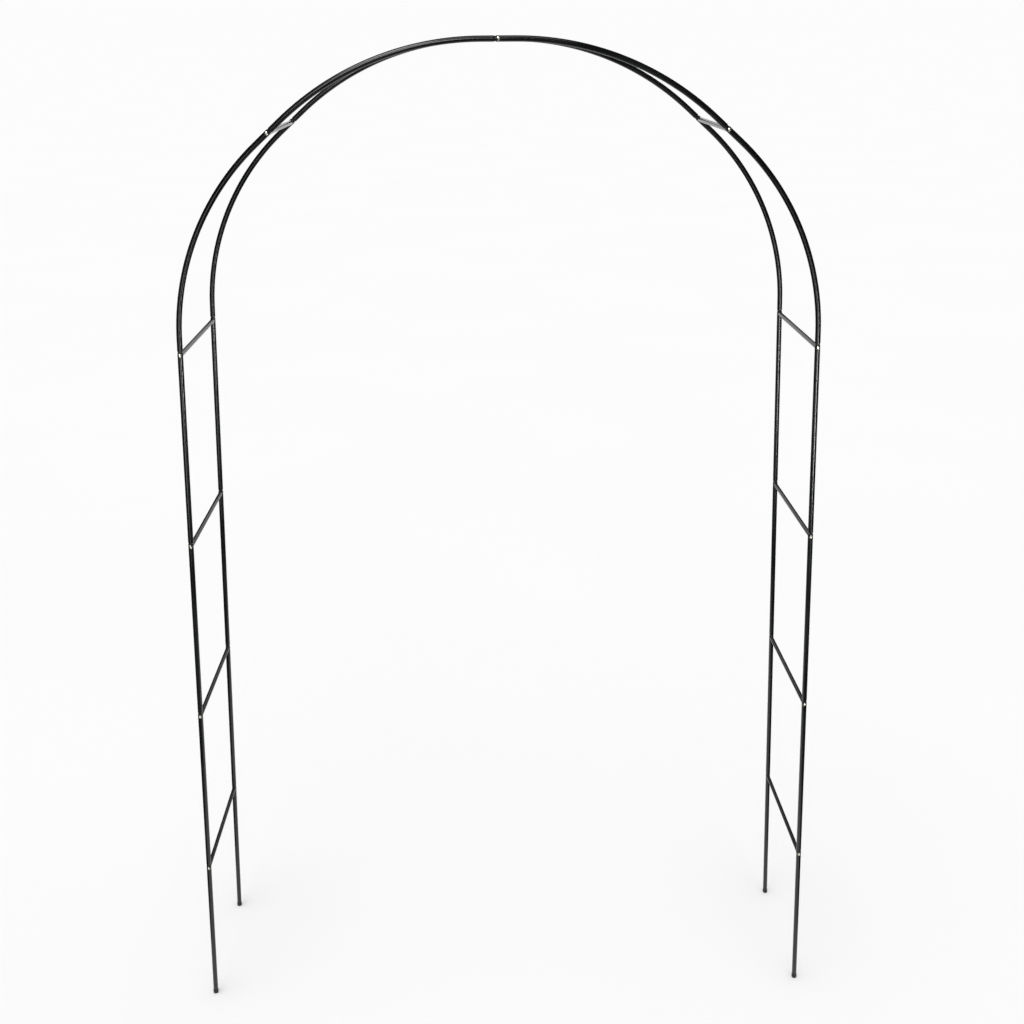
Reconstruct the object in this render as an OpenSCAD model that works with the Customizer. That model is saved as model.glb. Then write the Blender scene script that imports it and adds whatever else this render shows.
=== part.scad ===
// Knock-down trellis arch: two hoops of round tube tied together by crossbars, on capped feet.
// X runs across the arch, Y through it with the front at -Y, and Z up. The floor is z = 0.

/* [Arch] */
// Distance between the centre lines of the front and rear hoops
hoop_spacing = 350; // [200:10:600]
// Distance along a leg from one crossbar to the next
crossbar_pitch = 450; // [300:10:600]
// Distance along a leg from its lowest crossbar to the floor
foot_length = 412; // [200:2:600]
// Angle that each crown tube is bent through
crown_bend = 41; // [36:0.5:44]
// Centre-line radius of a crown tube's bend
crown_radius = 625; // [450:5:900]
// Angle that each shoulder tube is bent through
shoulder_bend = 46; // [44:0.5:48]
// Centre-line radius of a shoulder tube's bend
shoulder_radius = 570; // [400:5:800]
// Straight length left at each end of a bent tube
end_straight = 35; // [30:1:60]

/* [Tubes] */
// Outer diameter of the hoop tubes
tube_d = 12; // [11:0.5:20]
// Wall thickness of the hoop tubes
tube_wall = 0.8; // [0.6:0.1:1.2]
// Outer diameter of the crossbars
crossbar_d = 10; // [8:0.5:11]
// Wall thickness of the crossbars
crossbar_wall = 0.8; // [0.6:0.1:1]

/* [Slip joints] */
// Height of a socket's rim above the screw that crosses it
rim_height = 5; // [4:0.5:8]
// Length of reduced neck that shows above a rim
neck_gap = 2.5; // [0.5:0.5:4]
// Depth of a reduced end below the screw that crosses it
spigot_depth = 20; // [10:1:25]
// Gap all round between a reduced end and its socket
slip_gap = 0.2; // [0.1:0.05:0.4]

/* [Fasteners] */
// Diameter of the screws
screw_d = 4; // [3:0.5:5]
// Length of a screw under its head
screw_length = 25; // [20:1:30]
// Diameter of a screw's domed head
head_d = 8; // [7:0.5:10]
// Height of a screw's domed head
head_h = 2.8; // [2:0.1:3.5]
// Length of the threaded insert in each end of a crossbar
insert_length = 20; // [16:1:30]

/* [Feet] */
// Wall thickness of a foot cap
cap_wall = 0.55; // [0.5:0.05:2]
// Height of a foot cap
cap_h = 10; // [8:0.5:30]
// Thickness of a foot cap's floor
cap_floor = 2; // [1.5:0.5:4]

/* [Hidden] */
$fn = 48;
tube_r = tube_d / 2;
bore_r = tube_r - tube_wall;
spigot_r = bore_r - slip_gap;
spigot_bore_r = spigot_r - tube_wall;
neck_top = rim_height + neck_gap;
swage_length = 2;
edge = 0.3;
bend_lap = 1;
bend_inset = 0.01;
hole_d = screw_d + 0.4;
thread_gap = 0.05;
insert_gap = 0.05;
saddle_gap = 0.05;
cap_gap = 0.05;
cap_r = tube_r + cap_gap + cap_wall;
cap_round = 2;
cap_trim = 0.5;
dome_rise = 1.8;
recess_length = 4.6;
recess_width = 1.1;
recess_depth = 1.4;
recess_core_d = 2.2;
recess_core_depth = 2;
over = 1;

black_coat = [0.09, 0.10, 0.10];
bare_steel = [0.72, 0.72, 0.70];
zinc_plate = [0.80, 0.80, 0.78];
cap_black = [0.04, 0.04, 0.04];

HOOPS = ["front", "rear"];
SIDES = ["left", "right"];
// Tube i runs down one side from joint i to joint i + 1, and crossbar i meets the hoops at joint i
TUBES = ["crown_tube", "shoulder_tube", "upper_leg_tube", "middle_leg_tube", "lower_leg_tube", "foot_tube"];
CROSSBARS = ["top_crossbar", "haunch_crossbar", "shoulder_crossbar", "upper_crossbar",
             "middle_crossbar", "lower_crossbar"];
CROWN = 0;
SHOULDER = 1;
FOOT = 5;
FLOOR = 6;

// Angle below the horizontal at which tube i leaves joint i
leg_heading = crown_bend + shoulder_bend;
function heading(i) = i == CROWN ? 0 : i == SHOULDER ? crown_bend : leg_heading;

// Steps in the plane of a hoop, as [outwards, upwards]
function straight_step(angle, length) = length * [cos(angle), -sin(angle)];
function bent_step(angle, bend, radius) =
    straight_step(angle, end_straight)
    + radius * [sin(angle + bend) - sin(angle), cos(angle + bend) - cos(angle)]
    + straight_step(angle + bend, end_straight);
function tube_step(i) =
    i == CROWN ? bent_step(0, crown_bend, crown_radius)
    : i == SHOULDER ? bent_step(crown_bend, shoulder_bend, shoulder_radius)
    : straight_step(leg_heading, i == FOOT ? foot_length : crossbar_pitch);
function below_crown(i) = i == 0 ? [0, 0] : below_crown(i - 1) + tube_step(i - 1);
function joint(i) = below_crown(i) - [0, below_crown(FLOOR)[1]];

// Half sections of the tube ends, as [radius, height above the joint's screw]
socket_lip = [[bore_r, rim_height], [tube_r - edge, rim_height], [tube_r, rim_height - edge]];
reduced_tip = [
    [tube_r, neck_top + swage_length],
    [spigot_r, neck_top],
    [spigot_r, edge - spigot_depth],
    [spigot_r - edge, -spigot_depth],
    [spigot_bore_r, -spigot_depth],
    [spigot_bore_r, neck_top],
    [bore_r, neck_top + swage_length]
];
function lowered(points, drop) = [for (p = points) p - [0, drop]];

// Puts a piece at joint i of the right or left side, with its own -Z running down the tube
module at_joint(side, i, angle)
    mirror([side == "left" ? 1 : 0, 0, 0])
        translate([joint(i)[0], 0, joint(i)[1]])
            rotate([0, angle - 90, 0])
                children();

// Moves a piece to the front or rear hoop; the rear one is turned to face outwards too
module on_hoop(hoop)
    mirror([0, hoop == "rear" ? 1 : 0, 0])
        translate([0, -hoop_spacing / 2, 0])
            children();

module screw_hole()
    rotate([90, 0, 0])
        cylinder(h = tube_d + 2 * over, d = hole_d, center = true);

// Straight tube with a socket at its top and a reduced end at its foot
module leg_tube()
    color(black_coat)
        difference() {
            rotate_extrude()
                polygon(concat(socket_lip, lowered(reduced_tip, crossbar_pitch)));
            screw_hole();
            translate([0, 0, -crossbar_pitch])
                screw_hole();
        }

// Lowest tube of a leg, with a socket at its top and a plain end that stands in the cap
module foot_tube() {
    length = foot_length - cap_floor;
    color(black_coat)
        difference() {
            rotate_extrude()
                polygon(concat(socket_lip, [[tube_r, -length], [bore_r, -length]]));
            screw_hole();
        }
}

// The straight ends of a bent tube, each drilled for its screw
module socket_end()
    difference() {
        rotate_extrude()
            polygon(concat(socket_lip, [[tube_r, -end_straight], [bore_r, -end_straight]]));
        screw_hole();
    }

module reduced_end()
    difference() {
        rotate_extrude()
            polygon(concat([[bore_r, end_straight], [tube_r, end_straight]], reduced_tip));
        screw_hole();
    }

// A tube's bend below its upper straight, with the lower end carried round to its place. The bend laps
// into both straights just inside their skins, so that the three stretches make one clean solid.
module bend_and_lower_end(bend, radius) {
    lap_angle = bend_lap / radius * 180 / PI;
    translate([-radius, 0, -end_straight]) {
        rotate([-90, 0, 0])
            rotate([0, 0, -lap_angle])
                rotate_extrude(angle = bend + 2 * lap_angle, $fn = 180)
                    translate([radius, 0])
                        difference() {
                            circle(tube_r - bend_inset, $fn = 48);
                            circle(bore_r + bend_inset, $fn = 48);
                        }
        rotate([0, bend, 0])
            translate([radius, 0, -end_straight])
                reduced_end();
    }
}

// The right crown tube has the socket at the top of the arch, and the left one fits into it
module crown_tube(side)
    color(black_coat)
        union() {
            if (side == "right")
                socket_end();
            else
                mirror([0, 0, 1])
                    reduced_end();
            bend_and_lower_end(crown_bend, crown_radius);
        }

module shoulder_tube()
    color(black_coat)
        union() {
            socket_end();
            bend_and_lower_end(shoulder_bend, shoulder_radius);
        }

// Tube i of a side, built down from its upper joint
module hoop_tube(side, i) {
    if (i == CROWN) crown_tube(side);
    else if (i == SHOULDER) shoulder_tube();
    else if (i == FOOT) foot_tube();
    else leg_tube();
}

// Crossbar from one hoop to the other, its ends cut to the round of the hoop tubes
module crossbar()
    color(black_coat)
        difference() {
            rotate([90, 0, 0])
                difference() {
                    cylinder(h = hoop_spacing, d = crossbar_d, center = true);
                    cylinder(h = hoop_spacing + 2 * over, d = crossbar_d - 2 * crossbar_wall, center = true);
                }
            for (end = [-1, 1])
                translate([0, end * hoop_spacing / 2, 0])
                    cylinder(h = 2 * crossbar_d, r = tube_r + saddle_gap, center = true);
        }

// Threaded plug pressed into one end of a crossbar, its face against the hoop tube
module insert() {
    outer_d = crossbar_d - 2 * crossbar_wall - 2 * insert_gap;
    color(bare_steel)
        translate([0, tube_r, 0])
            rotate([-90, 0, 0])
                difference() {
                    cylinder(h = insert_length, d = outer_d);
                    translate([0, 0, -over])
                        cylinder(h = insert_length + 2 * over, d = screw_d + 2 * thread_gap);
                }
}

// Cross-recessed screw with its domed head on the outer face of the hoop
module screw() {
    head_r = head_d / 2;
    dome_r = (head_r * head_r + dome_rise * dome_rise) / (2 * dome_rise);
    color(zinc_plate)
        translate([0, -tube_r, 0])
            rotate([90, 0, 0])
                difference() {
                    union() {
                        translate([0, 0, -screw_length])
                            cylinder(h = screw_length + over, d = screw_d);
                        intersection() {
                            cylinder(h = head_h + over, d = head_d);
                            translate([0, 0, head_h - dome_r])
                                sphere(dome_r, $fn = 96);
                        }
                    }
                    for (turn = [45, 135])
                        rotate([0, 0, turn])
                            translate([-recess_length / 2, -recess_width / 2, head_h - recess_depth])
                                cube([recess_length, recess_width, recess_depth + over]);
                    translate([0, 0, head_h - recess_core_depth])
                        cylinder(h = recess_core_depth + over, d = recess_core_d);
                }
}

// Cap on the end of a foot tube, with a rounded edge, its underside trimmed level with the floor
module foot_cap(side) {
    color(cap_black)
        difference() {
            at_joint(side, FLOOR, leg_heading)
                difference() {
                    rotate_extrude() {
                        translate([0, -cap_trim])
                            square([cap_r - cap_round, cap_h + cap_trim]);
                        translate([0, cap_round - cap_trim])
                            square([cap_r, cap_h + cap_trim - cap_round]);
                        intersection() {
                            translate([cap_r - cap_round, cap_round - cap_trim])
                                circle(cap_round);
                            translate([0, -cap_trim])
                                square([cap_r, cap_h]);
                        }
                    }
                    translate([0, 0, cap_floor])
                        cylinder(h = cap_h, r = tube_r + cap_gap);
                }
            translate([-2 * joint(FLOOR)[0], -2 * cap_r, -2 * cap_r])
                cube([4 * joint(FLOOR)[0], 4 * cap_r, 2 * cap_r]);
        }
}

// Puts a piece at every joint of one hoop
module at_every_joint() {
    at_joint("right", CROWN, 0)
        children();
    for (side = SIDES, i = [1 : FOOT])
        at_joint(side, i, heading(i))
            children();
}

for (hoop = HOOPS, side = SIDES, i = [CROWN : FOOT])
    on_hoop(hoop) at_joint(side, i, heading(i)) hoop_tube(side, i);

at_joint("right", CROWN, 0) crossbar();

for (side = SIDES, i = [1 : FOOT])
    at_joint(side, i, heading(i)) crossbar();

for (hoop = HOOPS) {
    on_hoop(hoop) at_every_joint() screw();
    on_hoop(hoop) at_every_joint() insert();
}

for (hoop = HOOPS, side = SIDES)
    on_hoop(hoop) foot_cap(side);
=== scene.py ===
"""Trellis arch: finishes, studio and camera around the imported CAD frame.

Metres, Z up, front at -Y.
"""

import math

import bpy
from mathutils import Matrix

# Camera, level with the top of the arch and looking down at its feet
CAMERA_PLACE = (-0.050, -2.726, 2.394)
CAMERA_TURN = 1.61  # degrees to the right of straight ahead
CAMERA_DROP = 21.62  # degrees below the horizon
CAMERA_TILT = -0.34  # degrees of roll
CAMERA_LENS = 42.0  # millimetres

# Brightness of the world, as radiance
PAPER = 0.973  # what the eye sees beyond the floor
AMBIENT = 0.7  # what lights matt surfaces
DARK_ROOM = 0.03  # what shows in the gloss

# White floor: the sheet's corners and the reach of what lies beyond it, a little lower
FLOOR_LEVEL = -0.0005
SHEET_LEFT, SHEET_FRONT = -1.0, -1.05
SHEET_RIGHT, SHEET_BACK = 1.0, 4.0
HORIZON = 600.0

# Boards that show only in the gloss: two opposite corners, and radiance
GLOW_BOARDS = {
    "left_softbox": ((-1.5, -3.6, 0.0), (-0.5, -3.6, 1.55), 5.5),
    "high_softbox": ((-1.5, -3.6, 2.6), (-0.1, -3.6, 4.2), 10.0),
    "ceiling_softbox": ((-1.3, -1.6, 4.0), (-0.45, -0.6, 4.0), 14.0),
    "right_strip": ((0.98, -1.8, 0.8), (1.12, -1.8, 1.5), 66.0),
    "back_wall": ((-1.15, 4.0, 0.0), (1.15, 4.0, 3.6), 1.0),
}

# Colours of the finishes, linear
BLACK_COAT = (0.0062, 0.0069, 0.0071)
# painted light: the crossbars' black is a lighter copy of the tubes' black, for the light they
# catch
BAR_COAT_PAINTED_LIGHT = (0.012, 0.0125, 0.0125)
PRIMER = (0.16, 0.16, 0.155)
ZINC = (0.62, 0.62, 0.555)
STEEL = (0.52, 0.51, 0.49)
CAP_BLACK = (0.008, 0.008, 0.008)
WORN_CAP = (0.06, 0.06, 0.06)
DUST = (0.16, 0.145, 0.12)
PAPER_TONES = (0.90, 0.90, 0.90), (0.92, 0.92, 0.92)
ARCH_PAINTED_SHADE = 0.7  # painted shade: the bent tubes' black darkened against the straight ones'

# Detail of the finishes: features per metre, and depths of relief in metres
CLOUDS = 7.0
ORANGE_PEEL = 330.0
PEEL_DEPTH = 0.00006
COAT_GRAIN = 900.0
COAT_GRAIN_DEPTH = 0.000015
CAP_GRAIN = 1500.0
CAP_GRAIN_DEPTH = 0.00003
METAL_GRAIN_DEPTH = 0.00001


def scaled(colour, factor):
    return tuple(min(1.0, channel * factor) for channel in colour)


class Finish:
    """A material on a Principled shader, with short calls for the nodes that feed it."""

    def __init__(self, name, **settings):
        self.material = bpy.data.materials.new(name)
        self.material.use_nodes = True
        tree = self.material.node_tree
        self.nodes = tree.nodes
        self.links = tree.links
        self.shader = self.nodes["Principled BSDF"]
        for socket, value in settings.items():
            self.shader.inputs[socket.replace("_", " ")].default_value = value
        self.place = self.nodes.new("ShaderNodeTexCoord").outputs["Object"]

    def feed(self, source, socket):
        self.links.new(source, self.shader.inputs[socket])

    def stretched(self, scale):
        node = self.nodes.new("ShaderNodeMapping")
        node.inputs["Scale"].default_value = scale
        self.links.new(self.place, node.inputs["Vector"])
        return node.outputs["Vector"]

    def noise(self, scale, detail=2.0, place=None):
        node = self.nodes.new("ShaderNodeTexNoise")
        node.inputs["Scale"].default_value = scale
        node.inputs["Detail"].default_value = detail
        self.links.new(place or self.place, node.inputs["Vector"])
        return node.outputs["Fac"]

    def spread(self, source, low, high, to_low=0.0, to_high=1.0):
        """Maps the range low to high smoothly onto to_low to to_high, and holds it there beyond."""
        node = self.nodes.new("ShaderNodeMapRange")
        node.interpolation_type = "SMOOTHSTEP"
        ends = {"From Min": low, "From Max": high, "To Min": to_low, "To Max": to_high}
        for socket, value in ends.items():
            node.inputs[socket].default_value = value
        self.links.new(source, node.inputs["Value"])
        return node.outputs["Result"]

    def times(self, first, second):
        node = self.nodes.new("ShaderNodeMath")
        node.operation = "MULTIPLY"
        self.links.new(first, node.inputs[0])
        self.links.new(second, node.inputs[1])
        return node.outputs["Value"]

    def blend(self, amount, under, over):
        """Lays the colour over on the colour under; either may be a node's output."""
        node = self.nodes.new("ShaderNodeMix")
        node.data_type = "RGBA"
        self.links.new(amount, node.inputs["Factor"])
        for socket, colour in zip(("A", "B"), (under, over)):
            target = next(s for s in node.inputs if s.name == socket and s.type == "RGBA")
            if isinstance(colour, tuple):
                target.default_value = (*colour, 1.0)
            else:
                self.links.new(colour, target)
        return next(s for s in node.outputs if s.type == "RGBA")

    def height(self):
        node = self.nodes.new("ShaderNodeSeparateXYZ")
        self.links.new(self.place, node.inputs["Vector"])
        return node.outputs["Z"]

    def edges(self, radius):
        """1 on a sharp edge, fading to 0 within radius of it."""
        bevel = self.nodes.new("ShaderNodeBevel")
        bevel.samples = 6
        bevel.inputs["Radius"].default_value = radius
        surface = self.nodes.new("ShaderNodeNewGeometry")
        dot = self.nodes.new("ShaderNodeVectorMath")
        dot.operation = "DOT_PRODUCT"
        self.links.new(bevel.outputs["Normal"], dot.inputs[0])
        self.links.new(surface.outputs["Normal"], dot.inputs[1])
        return self.spread(dot.outputs["Value"], 0.995, 0.93)

    def bump(self, *layers):
        """Stacks layers, each a height output and its depth, and feeds them to the normal."""
        below = None
        for source, depth in layers:
            node = self.nodes.new("ShaderNodeBump")
            node.inputs["Distance"].default_value = depth
            self.links.new(source, node.inputs["Height"])
            if below is not None:
                self.links.new(below, node.inputs["Normal"])
            below = node.outputs["Normal"]
        self.feed(below, "Normal")


def powder_coat(name, colour, gloss, upright):
    """Baked black powder coat with rubbed edges; an upright tube has scuffs and dust as well."""
    finish = Finish(name, Specular_IOR_Level=gloss)
    cloud = finish.noise(CLOUDS, 3.0)
    grain = finish.noise(COAT_GRAIN, 3.0)
    tone = finish.blend(finish.spread(cloud, 0.35, 0.65), scaled(colour, 0.7), scaled(colour, 1.4))
    tone = finish.blend(finish.spread(grain, 0.62, 0.75, 0.0, 0.5), tone, scaled(colour, 3.0))
    edges = finish.edges(0.001)
    rub = finish.times(edges, finish.spread(finish.noise(350.0, 2.0), 0.42, 0.56, 0.0, 0.9))
    rough = finish.spread(cloud, 0.3, 0.7, 0.15, 0.23)
    if upright:
        scuff = finish.noise(1.0, 4.0, finish.stretched((900.0, 900.0, 25.0)))
        patch = finish.spread(finish.noise(5.0, 2.0), 0.5, 0.65)
        scuffed = finish.times(finish.spread(scuff, 0.66, 0.72, 0.0, 0.5), patch)
        tone = finish.blend(scuffed, tone, scaled(PRIMER, 0.35))
        low = finish.spread(finish.height(), 0.22, 0.0, 0.0, 0.25)
        dusty = finish.times(low, finish.spread(finish.noise(120.0, 4.0), 0.4, 0.7))
        tone = finish.blend(dusty, tone, scaled(DUST, 0.5))
    tone = finish.blend(rub, tone, PRIMER)
    finish.feed(tone, "Base Color")
    finish.feed(rough, "Roughness")
    finish.bump((finish.noise(ORANGE_PEEL, 1.0), PEEL_DEPTH), (grain, COAT_GRAIN_DEPTH))
    return finish.material


def bright_zinc():
    """Zinc-plated steel: faintly yellow, darker in patches, with tooling marks and painted shade
    along its sharp edges.
    """
    finish = Finish("bright_zinc", Metallic=1.0)
    patch = finish.noise(260.0, 3.0)
    tone = finish.blend(finish.spread(patch, 0.4, 0.65), ZINC, scaled(ZINC, 0.85))
    # painted shade: darker within 0.3 mm of every sharp edge, the cross recess included
    edge_shade = finish.spread(finish.edges(0.0003), 0.3, 1.0, 0.0, 0.5)
    tone = finish.blend(edge_shade, tone, scaled(ZINC, 0.6))
    finish.feed(tone, "Base Color")
    finish.feed(finish.spread(patch, 0.3, 0.7, 0.18, 0.32), "Roughness")
    marks = finish.noise(1.0, 2.0, finish.stretched((900.0, 900.0, 5000.0)))
    finish.bump((marks, METAL_GRAIN_DEPTH))
    return finish.material


def plain_steel():
    """Bare steel, darker in patches, with a fine grain."""
    finish = Finish("plain_steel", Metallic=1.0)
    patch = finish.noise(300.0, 3.0)
    tone = finish.blend(finish.spread(patch, 0.35, 0.7), STEEL, scaled(STEEL, 0.7))
    finish.feed(tone, "Base Color")
    finish.feed(finish.spread(patch, 0.3, 0.7, 0.35, 0.5), "Roughness")
    finish.bump((finish.noise(2200.0, 2.0), METAL_GRAIN_DEPTH))
    return finish.material


def moulded_cap():
    """Black moulded plastic with a fine grain, and dust where it meets the ground."""
    finish = Finish("moulded_cap", Specular_IOR_Level=0.4)
    grain = finish.noise(CAP_GRAIN, 2.0)
    tone = finish.blend(finish.spread(grain, 0.4, 0.7), CAP_BLACK, scaled(CAP_BLACK, 1.8))
    low = finish.spread(finish.height(), 0.006, 0.0, 0.0, 0.6)
    dusty = finish.times(low, finish.spread(finish.noise(420.0, 4.0), 0.35, 0.65))
    tone = finish.blend(dusty, tone, scaled(DUST, 0.6))
    worn = finish.spread(finish.edges(0.0006), 0.2, 1.0, 0.0, 0.25)
    tone = finish.blend(worn, tone, WORN_CAP)
    finish.feed(tone, "Base Color")
    finish.feed(finish.spread(grain, 0.3, 0.7, 0.45, 0.62), "Roughness")
    finish.bump((grain, CAP_GRAIN_DEPTH))
    return finish.material


def finish_frame(nodes):
    """Gives every CAD node its finish, by the first ending here that its name has."""
    leg_coat = powder_coat("leg_coat", BLACK_COAT, gloss=0.5, upright=True)
    # painted shade: the arch tubes get a darker copy of the leg coat's black
    arch_shaded_black = scaled(BLACK_COAT, ARCH_PAINTED_SHADE)
    arch_coat_painted_shade = powder_coat("arch_coat_painted_shade", arch_shaded_black, gloss=0.35, upright=False)
    # painted light: the crossbars get a lighter copy of the black coat
    bar_coat_painted_light = powder_coat("bar_coat_painted_light", BAR_COAT_PAINTED_LIGHT, gloss=0.5, upright=False)
    endings = (
        ("crown_tube", arch_coat_painted_shade),
        ("shoulder_tube", arch_coat_painted_shade),
        ("tube", leg_coat),
        ("crossbar", bar_coat_painted_light),
        ("screws", bright_zinc()),
        ("inserts", plain_steel()),
        ("foot_cap", moulded_cap()),
    )
    for name, piece in nodes.items():
        material = next(m for ending, m in endings if name.endswith(ending))
        for slot in piece.material_slots:
            slot.material = material


def board(name, low, high):
    """A flat rectangle between two opposite corners, either upright across the studio or level."""
    (left, front, bottom), (right, back, top) = low, high
    mesh = bpy.data.meshes.new(name)
    corners = [(left, front, bottom), (right, front, bottom), (right, back, top), (left, back, top)]
    mesh.from_pydata(corners, [], [(0, 1, 2, 3)])
    piece = bpy.data.objects.new(name, mesh)
    bpy.context.scene.collection.objects.link(piece)
    return piece


def pale_floor():
    """White out to the horizon; only the sheet under and behind the arch shows in the gloss."""
    finish = Finish("paper", Roughness=0.9, Specular_IOR_Level=0.0)
    finish.feed(finish.blend(finish.noise(0.6, 2.0), *PAPER_TONES), "Base Color")
    sheet = board(
        "floor_sheet",
        (SHEET_LEFT, SHEET_FRONT, FLOOR_LEVEL),
        (SHEET_RIGHT, SHEET_BACK, FLOOR_LEVEL),
    )
    beyond = board(
        "floor_beyond",
        (-HORIZON, -HORIZON, 2 * FLOOR_LEVEL),
        (HORIZON, HORIZON, 2 * FLOOR_LEVEL),
    )
    beyond.visible_glossy = False
    for floor in (sheet, beyond):
        floor.data.materials.append(finish.material)


def studio_world():
    """Pale paper to the eye, an even light on matt surfaces, and a dark room in the gloss."""
    world = bpy.data.worlds.new("studio")
    world.use_nodes = True
    bpy.context.scene.world = world
    nodes, links = world.node_tree.nodes, world.node_tree.links
    ray = nodes.new("ShaderNodeLightPath")
    lit = nodes.new("ShaderNodeMix")
    links.new(ray.outputs["Is Diffuse Ray"], lit.inputs["Factor"])
    lit.inputs["A"].default_value = DARK_ROOM
    lit.inputs["B"].default_value = AMBIENT
    seen = nodes.new("ShaderNodeMix")
    links.new(ray.outputs["Is Camera Ray"], seen.inputs["Factor"])
    links.new(lit.outputs["Result"], seen.inputs["A"])
    seen.inputs["B"].default_value = PAPER
    links.new(seen.outputs["Result"], nodes["Background"].inputs["Color"])


def sun(strength, spread, pitch, turn):
    """A soft overhead light; its spread, pitch and turn are in degrees."""
    light = bpy.data.lights.new("overhead", "SUN")
    light.energy = strength
    light.angle = math.radians(spread)
    lamp = bpy.data.objects.new("overhead", light)
    lamp.rotation_euler = (math.radians(pitch), 0.0, math.radians(turn))
    bpy.context.scene.collection.objects.link(lamp)


def glow(name, low, high, radiance):
    """A glowing board that shows only in the gloss."""
    piece = board(name, low, high)
    piece.visible_camera = piece.visible_diffuse = piece.visible_shadow = False
    material = bpy.data.materials.new(name)
    material.use_nodes = True
    shader = material.node_tree.nodes["Principled BSDF"]
    shader.inputs["Base Color"].default_value = (0.0, 0.0, 0.0, 1.0)
    shader.inputs["Emission Color"].default_value = (1.0, 1.0, 1.0, 1.0)
    shader.inputs["Emission Strength"].default_value = radiance
    piece.data.materials.append(material)


def front_camera():
    lens = bpy.data.cameras.new("camera")
    lens.lens = CAMERA_LENS
    camera = bpy.data.objects.new("camera", lens)
    turn = Matrix.Rotation(math.radians(-CAMERA_TURN), 4, "Z")
    drop = Matrix.Rotation(math.radians(90.0 - CAMERA_DROP), 4, "X")
    tilt = Matrix.Rotation(math.radians(CAMERA_TILT), 4, "Z")
    camera.matrix_world = Matrix.Translation(CAMERA_PLACE) @ turn @ drop @ tilt
    bpy.context.scene.collection.objects.link(camera)
    bpy.context.scene.camera = camera


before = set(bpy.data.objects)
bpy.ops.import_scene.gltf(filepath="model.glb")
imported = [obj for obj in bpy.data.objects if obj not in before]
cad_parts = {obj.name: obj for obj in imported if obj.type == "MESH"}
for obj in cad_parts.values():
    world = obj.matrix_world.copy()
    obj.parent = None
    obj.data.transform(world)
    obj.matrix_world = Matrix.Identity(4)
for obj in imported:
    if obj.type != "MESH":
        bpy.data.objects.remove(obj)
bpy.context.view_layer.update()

finish_frame(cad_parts)
pale_floor()
studio_world()
sun(strength=1.235, spread=50.0, pitch=20.0, turn=-30.0)
for board_name, (low, high, radiance) in GLOW_BOARDS.items():
    glow(board_name, low, high, radiance)
front_camera()
bpy.context.scene.view_settings.view_transform = "Standard"
